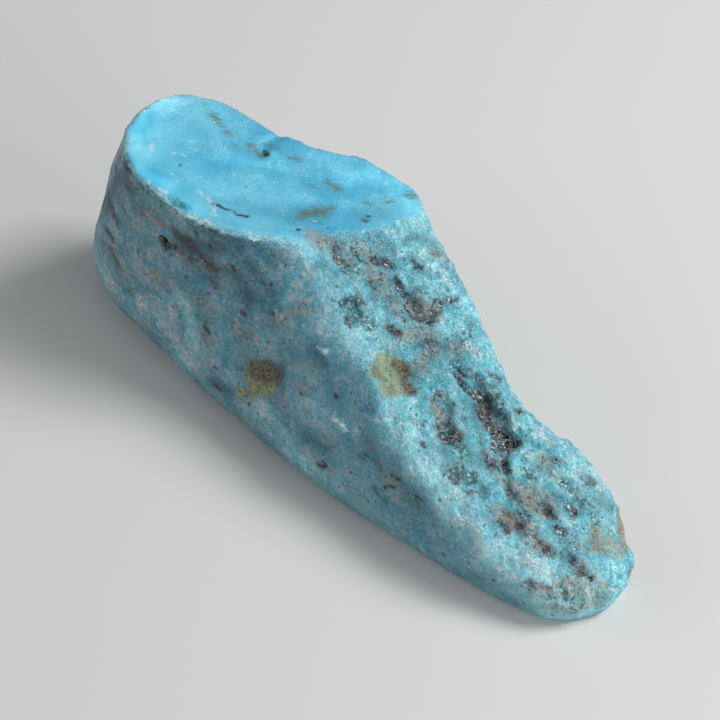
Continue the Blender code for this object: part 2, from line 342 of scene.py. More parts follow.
# What each kind of mark does to the surface: how far in mm, growing from and to so many mm inside the mark.
markRelief = {
    "hollow": (-0.85, -0.5, 1.0),
    "rib": (0.40, -0.4, 1.2),
    "quartz": (-0.22, -0.3, 0.6),
    "glass": (-0.20, -0.2, 0.5),
    "speck": (-0.16, -0.2, 0.5),
    "olive": (-0.10, -0.2, 0.5),
    "teal": (-0.16, -0.2, 0.5),
    "ochre": (0.12, -0.2, 0.5),
    "chalk": (0.05, -0.2, 0.5),
}

markWander = {
    "wide": (0.55, 2.2),       # marks wander by so many mm over lengths of so many mm
    "fine": (0.22, 0.7),
    "still": ("smudge", "speck", "chalk", "rust"),    # these wander less
    "stillShare": 0.35,
    "farthest": 2.0,           # mm outside a mark where its field stops falling
}

# Soft level pushes that true up the outline: (place across, down; reach in mm; mm to the right, mm away).
outlinePushes = (
    (185, 101, 5.5, 0.0, 1.05), (150, 112, 3.0, -0.2, 0.4), (172, 205, 3.4, -0.35, -0.4),
    (226, 220, 4.2, 0.0, -1.1), (186, 212, 2.5, 0.0, -0.45), (123, 158, 2.4, 0.45, 0.0),
    (247, 116, 3.2, 0.0, -0.65), (310, 145, 1.8, 0.0, 0.5), (362, 169, 3.6, 0.0, 1.2),
    (412, 194, 2.0, 0.35, 0.3), (430, 224, 2.6, -0.75, -0.1), (485, 335, 4.5, 0.45, 0.0),
    (562, 438, 4.0, 0.25, 0.5), (617, 510, 2.2, 1.1, 0.0), (619, 517, 1.4, 0.45, 0.0),
    (612, 496, 1.3, -0.35, 0.0), (632, 549, 1.9, -0.95, 0.0), (628, 594, 2.8, -0.8, 0.7),
    (637, 573, 1.6, 0.95, 0.0), (600, 614, 3.0, -0.1, 0.45), (123, 148, 2.0, 0.5, 0.0),
    (97, 260, 5.0, -0.3, 0.0), (120, 318, 5.0, -0.45, -0.5), (168, 362, 4.0, -0.35, -0.5),
    (216, 400, 3.5, 0.2, 0.3), (438, 560, 4.5, 0.35, 0.7), (540, 606, 4.0, 0.0, -0.7),
)


def smoothStep(values, low, high):
    share = np.clip((values - low) / (high - low), 0.0, 1.0)
    return share * share * (3.0 - 2.0 * share)


def evenStone():
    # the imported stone, rounded between its crisp edges and meshed again in small even faces
    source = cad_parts[stoneForm["node"]]
    bm = bmesh.new()
    bm.from_mesh(source.data)
    bmesh.ops.transform(bm, matrix=source.matrix_world, verts=bm.verts)
    bmesh.ops.remove_doubles(bm, verts=bm.verts, dist=stoneForm["weld"])
    bmesh.ops.join_triangles(bm, faces=bm.faces, angle_face_threshold=stoneForm["flatAngle"],
                             angle_shape_threshold=stoneForm["flatShape"])
    crease = bm.edges.layers.float.new("crease_edge")
    for edge in bm.edges:
        if edge.calc_face_angle(0.0) > stoneForm["crispAngle"]:
            edge[crease] = 1.0
    mesh = bpy.data.meshes.new("turquoiseStone")
    bm.to_mesh(mesh)
    bm.free()
    stone = bpy.data.objects.new("turquoiseStone", mesh)
    bpy.context.scene.collection.objects.link(stone)
    rounded = stone.modifiers.new("rounded", "SUBSURF")
    rounded.levels = stoneForm["rounding"]
    rounded.render_levels = stoneForm["rounding"]
    even = stone.modifiers.new("even", "REMESH")
    even.mode = "VOXEL"
    even.voxel_size = stoneForm["meshStep"]
    evaluated = stone.evaluated_get(bpy.context.evaluated_depsgraph_get())
    stone.data = bpy.data.meshes.new_from_object(evaluated)
    stone.modifiers.clear()
    bpy.data.meshes.remove(mesh)
    stone.data.name = "turquoiseStone"
    return stone


def readPoints(mesh):
    points = np.empty(len(mesh.vertices) * 3)
    mesh.vertices.foreach_get("co", points)
    ways = np.empty(len(mesh.vertices) * 3)
    mesh.vertices.foreach_get("normal", ways)
    return points.reshape(-1, 3), ways.reshape(-1, 3)


def surfacePoint(tree, across, down):
    # where the line of sight meets the stone, or the nearest place to it
    start, way = sightLine(across, down)
    hit = tree.ray_cast(start, way)[0]
    if hit is None:
        hit = tree.find_nearest(start + way * cameraLook["distance"])[0]
    return hit


def levelAxes():
    # to the camera's right, and level away from it
    right, up, back = cameraAxes()
    return np.array(right), np.array(Vector((-back.x, -back.y, 0.0)).normalized())


def pushOutline(stone):
    points, ways = readPoints(stone.data)
    tree = BVHTree.FromObject(stone, bpy.context.evaluated_depsgraph_get())
    right, away = levelAxes()
    saw = np.array(stoneForm["sawWay"])
    high = smoothStep(points[:, 2], *stoneForm["pushRise"])
    level = np.ones_like(high)
    pushed = points.copy()
    for across, down, reach, sideways, outwards in outlinePushes:
        middle = np.array(surfacePoint(tree, across, down))
        share = np.exp(-(np.linalg.norm(points - middle, axis=1) / (reach * mm)) ** 2)
        push = (right * sideways + away * outwards) * mm
        push[2] = -(push @ saw) / saw[2]
        pushed += share[:, None] * push * np.stack((level, level, high), axis=1)
    stone.data.vertices.foreach_set("co", pushed.ravel())
    stone.data.update()


def distanceToPath(points, path):
    # from every point to the nearest of the path's straight legs
    nearest = np.full(len(points), np.inf)
    for start, end in zip(path, path[1:]):
        leg = np.array(end - start)
        away = points - np.array(start)
        length = max(leg @ leg, np.finfo(float).tiny)    # a leg may have no length
        along = np.clip(away @ leg / length, 0.0, 1.0)
        nearest = np.minimum(nearest, np.linalg.norm(away - along[:, None] * leg, axis=1))
    return nearest


def markField(points, marks):
    # how far inside the nearest mark each point lies, in mm; below 0 it is outside
    field = np.full(len(points), -markWander["farthest"])
    for halfWidth, path in marks:
        field = np.maximum(field, halfWidth - distanceToPath(points, path) / mm)
    return field


def wandering(points):
    moves = np.zeros(points.shape)
    for length, size in (markWander["wide"], markWander["fine"]):
        scale = 1.0 / (size * mm)
        moves += [noise.noise_vector(Vector(point) * scale) * (length * mm) for point in points.tolist()]
    return moves


# The sides that the camera doesn't see: how many of each kind, least and most half width, longest run, in mm.
hiddenMarks = {
    "olive": (3, 1.0, 2.0, 2.5),
    "rust": (12, 0.3, 0.8, 3.0),
    "quartz": (46, 0.25, 0.9, 3.0),
    "glass": (18, 0.5, 1.0, 3.0),
    "teal": (34, 0.4, 1.3, 4.0),
    "ash": (50, 0.5, 1.3, 4.0),
    "ochre": (4, 0.5, 1.1, 4.0),
    "speck": (60, 0.12, 0.3, 0.8),
    "chalk": (14, 0.3, 0.8, 2.0),
    "hollow": (17, 0.7, 1.6, 9.0),
    "rib": (9, 1.2, 2.0, 9.0),
}


def hiddenSideMarks(points, ways, randomly):
    back = np.array(cameraAxes()[2])
    height = points @ np.array(stoneForm["sawWay"])
    hidden = np.nonzero((ways @ back < stoneForm["hiddenFacing"]) & (points[:, 2] > stoneForm["clearOfSole"])
                        & (height < height.max() - stoneForm["clearOfRim"]))[0]
    places = KDTree(len(hidden))
    for number, index in enumerate(hidden):
        places.insert(points[index], number)
    places.balance()
    found = {}
    for kind, (count, least, most, longest) in hiddenMarks.items():
        found[kind] = []
        for _ in range(count):
            start = Vector(points[randomly.choice(hidden)])
            run = randomly.uniform(stoneForm["shortestRun"], 1.0) * longest * mm
            turn = randomly.uniform(-stoneForm["runClimb"], stoneForm["runClimb"])
            way = Vector((math.cos(turn), 0.0, math.sin(turn))) * run
            middle = places.find(start + way * 0.5)[0]
            end = places.find(start + way)[0]
            found[kind].append((randomly.uniform(least, most), [start, middle, end]))
    return found


def noiseAt(points, size, shift, octaves, basis="PERLIN_ORIGINAL"):
    # fractal noise at every point, with lumps of the given size in mm
    scale = 1.0 / (size * mm)
    shift = Vector(shift)
    fading, finer = 0.9, 2.0    # from each octave to the next
    return np.array([noise.fractal(Vector(point) * scale + shift, fading, finer, octaves, noise_basis=basis)
                     for point in points.tolist()])


def pitsAt(points):
    # round pits in some of the cells: 1 in the middle of one, 0 outside
    scale = 1.0 / (stoneForm["pitCell"] * mm)
    shift = Vector(stoneForm["pitShift"])
    depth = np.zeros(len(points))
    for i, point in enumerate(points.tolist()):
        spread, centres = noise.voronoi(Vector(point) * scale + shift)
        chosen = noise.cell(centres[0] * stoneForm["pitStride"])
        if abs(chosen) < stoneForm["pitShare"]:
            depth[i] = max(0.0, 1.0 - spread[0] / stoneForm["pitRadius"])
    return depth


def nearestDistances(points, places):
    tree = KDTree(len(places))
    for number, place in enumerate(places):
        tree.insert(place, number)
    tree.balance()
    return np.array([tree.find(point)[2] for point in points])


def markFields(points, moves, tree, hiddenSide):
    loose = points + moves
    still = points + moves * markWander["stillShare"]
    fields = {}
    for kind, marks in stoneMarks.items():
        placed = []
        for halfWidth, *path in marks:
            places = [surfacePoint(tree, across, down) for across, down in zip(path[::2], path[1::2])]
            placed.append((halfWidth, places))
        measured = still if kind in markWander["still"] else loose
        fields[kind] = markField(measured, placed + hiddenSide.get(kind, []))
    return fields


def stoneFields(stone, randomly):
    # for every point: how far inside each kind of mark it is, and how sawn, worn and rough the stone is there
    points, ways = readPoints(stone.data)
    moves = wandering(points)
    loose = points + moves
    tree = BVHTree.FromObject(stone, bpy.context.evaluated_depsgraph_get())
    fields = markFields(points, moves, tree, hiddenSideMarks(points, ways, randomly))

    saw = np.array(stoneForm["sawWay"])
    height = points @ saw
    onTop = (height > height.max() - stoneForm["sawReach"]) & (ways @ saw > stoneForm["sawFacing"])
    rim = (height > height.max() - stoneForm["rimDepth"]) & ~onTop
    fromRim = nearestDistances(points, points[rim])
    fields["inland"] = np.clip(fromRim / stoneForm["inland"], 0.0, 1.0)
    fields["rim"] = 1.0 - np.clip(fromRim / stoneForm["rimWidth"], 0.0, 1.0)

    right, away = levelAxes()
    worn = [np.array(surfacePoint(tree, across, down)) for across, down in wornPoints]
    wornLine = np.interp(loose @ right, [place @ right for place in worn], [place @ away for place in worn],
                         left=-1.0)    # a metre nearer, so nothing is worn left of the line
    fields["worn"] = np.clip((wornLine - loose @ away) / stoneForm["wornWidth"], 0.0, 1.0)
    spread = stoneForm["wornReach"] * stoneForm["wornWidth"]
    fields["worn"] *= np.where(onTop, 1.0, 1.0 - smoothStep(fromRim, 0.0, spread))
    unworn = 1.0 - smoothStep(fields["worn"], 0.0, stoneForm["wornEdge"])
    fields["sawn"] = onTop * smoothStep(fromRim, 0.0, stoneForm["rimSoft"]) * unworn

    ridge = sorted(tuple(surfacePoint(tree, across, down)) for across, down in ridgePoints)
    ridgeY = np.interp(points[:, 0], [place[0] for place in ridge], [place[1] for place in ridge])
    pastRidge = loose[:, 1] - ridgeY
    halfBlend = stoneForm["ridgeBlend"] / 2
    fields["rough"] = smoothStep(pastRidge, -halfBlend, halfBlend)
    # the band past the ridge where a painted highlight is laid
    fields["brow"] = np.exp(-((pastRidge - stoneForm["browPlace"]) / stoneForm["browReach"]) ** 2)
    return fields


def moveOut(stone, move):
    # every point out along its own direction, by mm, and less close above the sole
    points, ways = readPoints(stone.data)
    clearOfSole = smoothStep(points[:, 2], *stoneForm["soleFade"])
    moved = points + ways * (move * clearOfSole * mm)[:, None]
    moved[:, 2] = np.maximum(moved[:, 2], 0.0)
    stone.data.vertices.foreach_set("co", moved.ravel())
    stone.data.update()


def carved(points, kind):
    depth, *lumps = stoneCarving[kind]
    return depth * noiseAt(points, *lumps)


def marked(fields, kind):
    depth, low, high = markRelief[kind]
    return depth * smoothStep(fields[kind], low, high)


def rub(bm, places, rubs):
    rubbed = [bm.verts[index] for index in np.nonzero(places)[0]]
    for _ in range(rubs):
        bmesh.ops.smooth_vert(bm, verts=rubbed, factor=stoneForm["rubShare"],
                              use_axis_x=True, use_axis_y=True, use_axis_z=True)


def shapeStone(stone, fields):
    # the broad hollows, ribs and worn corner, then the corner rubbed smooth
    points = readPoints(stone.data)[0]
    sawn = fields["sawn"]
    side = 1.0 - sawn
    fewLumps = stoneForm["smoothLumps"]
    fewHollows = stoneForm["sawnHollows"]
    move = carved(points, "lumps") * side * (fewLumps + (1.0 - fewLumps) * fields["rough"])
    move += stoneForm["scoop"] * smoothStep(fields["inland"], 0.0, 1.0) * sawn
    move += stoneForm["wear"] * smoothStep(fields["worn"], 0.0, 1.0)
    move += marked(fields, "hollow") * (fewHollows + (1.0 - fewHollows) * side)
    move += marked(fields, "rib")
    moveOut(stone, move)
    bm = bmesh.new()
    bm.from_mesh(stone.data)
    bm.verts.ensure_lookup_table()
    rub(bm, fields["worn"] > stoneForm["rubbedFrom"], stoneForm["rubs"])
    rub(bm, fields["rim"] > stoneForm["rimRubbedFrom"], stoneForm["rimRubs"])
    bm.to_mesh(stone.data)
    bm.free()


def roughenStone(stone, fields):
    # grain, pits, chips and the small relief of each mark
    points = readPoints(stone.data)[0]
    sawn, rough = fields["sawn"], fields["rough"]
    side = 1.0 - sawn
    roughSide = side * rough * (1.0 - stoneForm["rimCalm"] * fields["rim"])
    move = carved(points, "roughGrain") * roughSide
    move += stoneForm["pitDepth"] * pitsAt(points) * roughSide
    move += carved(points, "smoothDents") * side * (1.0 - rough)
    move += carved(points, "smoothGrain") * side
    move += carved(points * np.array(stoneForm["sawnGrain"]), "sawnWaves") * sawn
    chips, *lumps = stoneCarving["rimChips"]
    move += chips * smoothStep(noiseAt(points, *lumps), *stoneForm["chipEdge"]) * fields["rim"] ** 2
    depth, low, high = markRelief["quartz"]
    move += carved(points, "quartzFacets") * smoothStep(fields["quartz"], low, high)
    for kind in ("quartz", "speck", "glass", "olive", "teal", "ochre", "chalk"):
        move += marked(fields, kind)
    moveOut(stone, move)
    stone.data.shade_smooth()


def storeFields(stone, fields):
    for kind, values in fields.items():
        stored = stone.data.attributes.new(kind, "FLOAT", "POINT")
        stored.data.foreach_set("value", values.astype(np.float32))


randomly = random.Random(stoneForm["seed"])
noise.seed_set(stoneForm["wanderSeed"])    # the marks wander the same way every time
stone = evenStone()
pushOutline(stone)
print("stone meshed:", len(stone.data.polygons), "faces")
fields = stoneFields(stone, randomly)
shapeStone(stone, fields)
roughenStone(stone, fields)
storeFields(stone, fields)
print("stone carved")


class Wire:
    # one output of a shader tree; arithmetic on it adds Math nodes
    def __init__(self, tree, socket):
        self.tree = tree
        self.socket = socket

    def maths(self, operation, first, second=0.0):
        node = self.tree.nodes.new("ShaderNodeMath")
        node.operation = operation
        for slot, value in zip(node.inputs, (first, second)):
            if isinstance(value, Wire):
                self.tree.links.new(value.socket, slot)
            else:
                slot.default_value = value
        return Wire(self.tree, node.outputs[0])

    def __add__(self, other):
        return self.maths("ADD", self, other)

    def __radd__(self, other):
        return self.maths("ADD", other, self)

    def __sub__(self, other):
        return self.maths("SUBTRACT", self, other)

    def __rsub__(self, other):
        return self.maths("SUBTRACT", other, self)

    def __mul__(self, other):
        return self.maths("MULTIPLY", self, other)

    def __rmul__(self, other):
        return self.maths("MULTIPLY", other, self)

    def __truediv__(self, other):
        return self.maths("DIVIDE", self, other)

    def largest(self, other):
        return self.maths("MAXIMUM", self, other)

    def beside(self, output):
        # another output of the same node
        return Wire(self.tree, self.socket.node.outputs[output])


class Finish:
    # a material and the tree behind it
    def __init__(self, name):
        self.material = bpy.data.materials.new(name)
        self.material.use_nodes = True
        self.tree = self.material.node_tree
        self.shader = self.tree.nodes["Principled BSDF"]

    def add(self, kind, settings, sockets, output=0):
        node = self.tree.nodes.new(kind)
        for name, value in settings.items():
            setattr(node, name, value)
        for name, value in sockets.items():
            self.plug(node, name, value)
        return Wire(self.tree, node.outputs[output])

    def plug(self, node, name, value):
        if isinstance(value, Wire):
            self.tree.links.new(value.socket, node.inputs[name])
        else:
            node.inputs[name].default_value = value

    def field(self, name):
        return self.add("ShaderNodeAttribute", {"attribute_name": name}, {}, "Fac")

    def step(self, value, low, high):
        # 0 below low, 1 above high, and a soft curve between; turned round where low is above high
        return self.add("ShaderNodeMapRange", {"interpolation_type": "SMOOTHSTEP"},
                        {"Value": value, "From Min": low, "From Max": high})

    def blend(self, share, first, second):
        # colours, by a share from 0 to 1
        return self.add("ShaderNodeMix", {"data_type": "RGBA"}, {0: share, 6: first, 7: second}, 2)

    def tinted(self, share, first, tint):
        return self.add("ShaderNodeMix", {"data_type": "RGBA", "blend_type": "MULTIPLY"},
                        {0: share, 6: first, 7: tint}, 2)

    def vectors(self, operation, sockets, output=0):
        return self.add("ShaderNodeVectorMath", {"operation": operation}, sockets, output)

    def noise(self, place, size, detail, rough=0.5, warp=0.0, output="Fac"):
        return self.add("ShaderNodeTexNoise", {"normalize": True},
                        {"Vector": place, "Scale": 1.0 / (size * mm), "Detail": detail,
                         "Roughness": rough, "Distortion": warp}, output)

    def wavered(self, place, size, detail, reach):
        # places moved a little by a noise, so that cells laid on them have uneven edges
        waver = self.noise(place, size, detail, output="Color")
        return self.vectors("MULTIPLY_ADD", {0: waver, 1: (reach * mm,) * 3, 2: place})

    def voronoi(self, place, size):
        # a tint and a number from 0 to 1 for each cell
        tint = self.add("ShaderNodeTexVoronoi", {}, {"Vector": place, "Scale": 1.0 / (size * mm)}, "Color")
        return tint, self.add("ShaderNodeSeparateColor", {}, {"Color": tint}, "Red")

    def flecks(self, place, size, share, radius):
        # round flecks in a share of the cells: 1 in the middle of one, 0 outside; the radius is in cells
        heart, soft = 0.45, 0.02
        tint, number = self.voronoi(place, size)
        near = self.step(tint.beside("Distance"), radius, radius * heart)
        return near * self.step(number, share, share - soft)

    def cells(self, place, size):
        # each cell's number, and the slope of a flat facet across it, in mm
        tint, number = self.voronoi(place, size)
        tilt = self.vectors("SUBTRACT", {0: tint, 1: (0.5, 0.5, 0.5)})
        across = self.vectors("SUBTRACT", {0: place, 1: tint.beside("Position")})
        return number, self.vectors("DOT_PRODUCT", {0: tilt, 1: across}, "Value") / mm


def colour(red, green, blue):
    # a screen colour, 0 to 255, as the linear value that a shader takes
    def linear(value):
        value = value / 255.0
        return value / 12.92 if value <= 0.04045 else ((value + 0.055) / 1.055) ** 2.4
    return linear(red), linear(green), linear(blue), 1.0


turquoiseLook = {
    "sawnPale": colour(103, 191, 216),
    "sawnDeep": colour(63, 163, 197),
    "sawnStreak": colour(156, 204, 220),
    "sawnDash": colour(206, 230, 236),
    "roughPale": colour(154, 207, 214),
    "roughMain": colour(127, 197, 209),
    "roughDeep": colour(76, 156, 172),
    # painted highlight: the band just past the ridge, lighter where the rounded ridge meets the light
    "brow": colour(142, 208, 222),
    "frost": colour(206, 221, 221),
    "sideMain": colour(95, 157, 174),
    "sideDeep": colour(63, 129, 148),
    "sideRosy": colour(166, 156, 152),
    "crack": colour(26, 46, 52),
    "ash": colour(126, 134, 128),
    "ashRosy": colour(151, 148, 138),
    "teal": colour(20, 106, 122),
    "tealGreen": colour(44, 122, 122),
    "olive": colour(84, 82, 44),
    "olivePale": colour(141, 149, 94),
    "rust": colour(68, 47, 35),
    "ochre": colour(138, 132, 120),
    "ochreGold": colour(168, 158, 138),
    "silt": colour(142, 154, 138),
    "smudge": colour(88, 106, 74),
    "quartz": colour(20, 22, 26),
    "quartzGrey": colour(120, 124, 128),
    "quartzClear": colour(196, 200, 204),
    "glass": colour(96, 106, 105),
    "glassRosy": colour(140, 138, 133),
    "speck": colour(34, 30, 30),
    # darker tone and painted shade of the deep zones
    "deepAndShadeTint": (0.50, 0.62, 0.66, 1.0),
    # paler tone and painted light of the pale zones
    "paleAndLitTint": (1.41, 1.26, 1.21, 1.0),
    "chalk": colour(178, 212, 220),
    "rim": colour(142, 210, 220),
    "warmTint": (1.42, 1.03, 0.95, 1.0),
    "coolTint": (0.58, 0.96, 1.02, 1.0),
    "waver": (0.5, 2.0, 0.5),               # lumps of so many mm, detail, and mm that places move
    "crumbSize": 0.30,                      # mm
    "heelFrom": (15.0 * mm, -25.0 * mm),    # the smooth side grows rosier along X
    "drawnOut": 6.0,                        # how far the saw drew the pattern out
    "scratchEdge": (0.60, 0.70),
    "ior": 1.6,
    # Noises in the stone: lumps of so many mm, then detail, roughness and warp.
    "noises": {
        "cloud": (9.0, 2.0),
        "patch": (3.0, 4.0, 0.6, 0.5),
        "dust": (2.6, 7.0, 0.95),
        "mottle": (1.1, 4.0, 0.65, 0.4),
        "stray": (0.8, 3.0, 0.6),
        "grain": (0.42, 4.0, 0.75),
        "sand": (0.16, 2.0, 0.6),
    },
    # Noises drawn out along the saw's way across the top.
    "drawnNoises": {
        "streak": (0.6, 4.0, 0.7),
        "dash": (0.22, 2.0, 0.6),
    },
    # Round flecks: cells of so many mm, the share of them that hold a fleck, and its radius in cells.
    "flecks": {
        "pit": (1.0, 0.42, 0.22),
        "blot": (2.3, 0.40, 0.17),
        "fleck": (0.8, 0.30, 0.30),
    },
    # A veil is a colour that shows where a sum of noises is high, or low where its limits are turned round:
    # (colour, how much of each noise, from, to, the veil's share, how much more of it there is by place).
    "slopeVeils": (
        ("roughMain", {"patch": 0.6, "mottle": 0.4}, 0.38, 0.60),
        ("roughPale", {"mottle": 0.5, "cloud": 0.5}, 0.48, 0.62),
        # painted highlight along the ridge, with calmer grain there
        ("brow", {}, 0.0, 1.0, 0.0, {"brow": 0.7}),
        ("frost", {"grain": 0.7, "mottle": 0.3}, 0.54, 0.68, 0.5, {"brow": -0.15}),
        ("crack", {"dust": 0.5, "grain": 0.5}, 0.43, 0.35, 0.75, {"brow": -0.3}),
    ),
    "sideVeils": (
        ("sideMain", {"cloud": 0.4, "patch": 0.6}, 0.40, 0.60),
        ("sideRosy", {"patch": 0.25, "mottle": 0.3, "grain": 0.25, "dust": 0.2}, 0.46, 0.60,
         0.3, {"heel": 0.38}),
        ("crack", {"grain": 0.4, "dust": 0.4, "mottle": 0.2}, 0.44, 0.36, 0.65),
    ),
    "sawnVeils": (
        ("sawnPale", {"cloud": 0.7, "patch": 0.3}, 0.36, 0.62),
        ("sawnStreak", {"streak": 0.7, "cloud": 0.3}, 0.53, 0.68, 0.45),
        ("sawnDash", {"patch": 1.0}, 0.46, 0.60, 0.0, {"scratch": 0.6}),
    ),
    # The same for flecks: the kind of fleck, then the veil that says where it shows.
    "fleckVeils": (
        ("fleck", "frost", {"mottle": 1.0}, 0.42, 0.54, 0.35, {"rough": 0.4, "roughLitBrow": -0.4}),
        ("pit", "crack", {"patch": 1.0}, 0.42, 0.54, 0.85, {"rough": -0.15}),
        ("blot", "crack", {"mottle": 1.0}, 0.42, 0.52, 0.75, {"rough": -0.1}),
    ),
    # Warmer and cooler spots all over the natural sides.
    "strayTints": (
        ("warmTint", {"stray": 1.0}, 0.50, 0.66, 1.0, {"rough": -0.35}),
        ("coolTint", {"stray": 1.0}, 0.50, 0.34),
    ),
    # Broad zones: kind of mark, tint, mm that noises fray its edge by, from and to in mm, share and more
    # by place.
    "zoneTints": (
        # the deep zones, partly darker tone and partly painted shade
        ("deepAndShaded", "deepAndShadeTint", {"mottle": 2.0, "patch": 2.0}, -1.3, 0.9, 1.0, {"sawn": -0.4}),
        ("deepAndShaded", "deepAndShadeTint", {"mottle": 1.5}, 0.2, 1.5, 1.0, {"sawn": -1.0}),
        # the pale zones, partly paler tone and partly painted light
        ("pale", "paleAndLitTint", {"mottle": 1.5, "patch": 1.5}, -1.4, 1.2, 1.0, {}),
        ("pale", "paleAndLitTint", {"mottle": 1.5}, 0.2, 2.0, 0.8, {}),
    ),
    # Marks in the order they are laid on: kind, colour, edge, share and more by place, a veil that adds to
    # the share, and the veils inside the mark. An edge is either ragged by so many mm and soft by so many,
    # or names the noises that fray it, and runs from and to so many mm.
    "marks": (
        ("teal", "teal", (1.1, 0.35), (0.78,), (), (
            ("tealGreen", {"mottle": 0.4, "crumb": 0.3, "grain": 0.3}, 0.40, 0.56),
            ("crack", {"crumb": 1.0}, 0.28, 0.18, 0.8),
            ("frost", {"crumb": 1.0}, 0.74, 0.86, 0.15, {"rough": 0.45}))),
        ("ash", "ash", (1.5, 0.7), (0.45, {"rough": -0.15}),
         ({"grain": 0.7, "sand": 0.3}, 0.42, 0.54, 0.15, {"rough": 0.4}), (
            ("ashRosy", {"mottle": 1.0}, 0.42, 0.58),
            ("crack", {"crumb": 1.0}, 0.20, 0.10, 0.8))),
        ("ochre", "ochre", (0.8, 0.35), (1.0,), (), (
            ("ochreGold", {"grain": 0.6, "mottle": 0.4}, 0.50, 0.60),)),
        ("olive", "olive", (0.9, 0.5), (0.85, {"rough": -0.05}), (), (
            ("olivePale", {"grain": 0.4, "mottle": 0.4, "sand": 0.2, "rough": 0.08}, 0.40, 0.58),)),
        ("silt", "silt", (0.9, 0.6), (0.82,), (), ()),
        ("rust", "rust", (1.2, 0.4), (0.6,), ({"grain": 1.0}, 0.56, 0.42, 0.38), (
            ("speck", {"dust": 0.5, "grain": 0.5}, 0.53, 0.43, 0.85),)),
        ("smudge", "smudge", ({"streak": 1.5, "dash": 2.2, "grain": 0.8}, -0.4, 0.7), (0.82,), (), (
            ("crack", {"dash": 0.6, "grain": 0.4}, 0.52, 0.42, 0.6),)),
        # a teal skin round the quartz, then the quartz: a grey bed with dark and clear grains
        ("quartz", "teal", ({"mottle": 3.0}, -0.8, 0.2), (0.0,),
         ({"patch": 1.0}, 0.38, 0.52, 0.0, {"rough": 0.75}), ()),
        ("quartz", "quartz", (1.6, 0.4), (0.95,), (), (
            ("quartzGrey", {"crumb": 1.0}, 0.50, 0.75),
            ("quartzClear", {"crumb": 1.0}, 0.88, 0.94),
            ("quartzGrey", {"mottle": 0.6, "grain": 0.4}, 0.50, 0.60, 0.5))),
        ("glass", "glass", (1.4, 0.5), (0.85, {"quartz": -0.3}), (), (
            ("glassRosy", {"mottle": 0.5, "patch": 0.5}, 0.42, 0.58),
            ("quartz", {"crumb": 1.0}, 0.16, 0.08, 0.7))),
        ("speck", "speck", (0.45, 0.16), (0.92,), (), ()),
        ("rim", "rim", ({"patch": 0.5, "mottle": 0.4}, 0.86, 1.0), (0.0,),
         ({"worn": 1.0}, 0.15, 0.02, 0.6), ()),
        ("chalk", "chalk", (0.9, 0.3), (0.3,), ({"grain": 0.7, "sand": 0.3}, 0.42, 0.56, 0.6), ()),
    ),
    # How light and dark, gloss and fine relief in mm follow the noises: so much of each, and more by place.
    "fray": {"mottle": 2.0, "grain": 1.6},    # what a ragged edge follows
    "shade": {"dust": (1.1,), "sand": (0.8, {"rough": 1.1, "roughLitBrow": -0.7}),
              "grain": (1.1,), "crumb": (0.15, {"rough": 0.3})},
    "shadeShare": (0.08, {"natural": 0.92}),
    "lively": (1.0, {"roughLitBrow": -0.3, "sideDeep": 0.7}),
    "gloss": (0.52, {"sawn": -0.14, "crystal": -0.28, "teal": -0.15, "chalk": 0.1}),
    "glossCrumbs": 0.35,
    "relief": {"mottle": (0.30,), "grain": (0.24,), "sand": (0.08,)},
    "reliefShare": (0.65, {"rough": 0.35, "sawn": -0.6}),
    "facet": (0.2, {"rough": 0.35}),
    "quartzFacet": 0.5,
    "pitDepth": 0.08,
    "blotDepth": 0.12,
}


def turquoiseWires(finish):
    # every noise, fleck and place that the colour, gloss and relief follow
    look = turquoiseLook
    place = finish.add("ShaderNodeTexCoord", {}, {}, "Object")
    drawn = finish.add("ShaderNodeMapping", {"vector_type": "TEXTURE"},
                       {"Vector": place, "Rotation": (0.0, 0.0, math.radians(cameraLook["azimuth"])),
                        "Scale": (look["drawnOut"], 1.0, 1.0)})
    wavy = finish.wavered(place, *look["waver"])
    wires = {name: finish.noise(place, *sizes) for name, sizes in look["noises"].items()}
    wires.update({name: finish.noise(drawn, *sizes) for name, sizes in look["drawnNoises"].items()})
    wires.update({name: finish.flecks(wavy, *sizes) for name, sizes in look["flecks"].items()})
    wires.update({name: finish.field(name) for name in ("rough", "sawn", "brow", "worn")})
    wires["crumb"], wires["facet"] = finish.cells(wavy, look["crumbSize"])
    wires["scratch"] = finish.step(wires["dash"], *look["scratchEdge"])
    along = finish.add("ShaderNodeSeparateXYZ", {}, {"Vector": place}, "X")
    wires["heel"] = finish.step(along, *look["heelFrom"])
    wires["natural"] = 1.0 - wires["sawn"]
    wires["roughLitBrow"] = wires["rough"] * wires["brow"]
    return wires


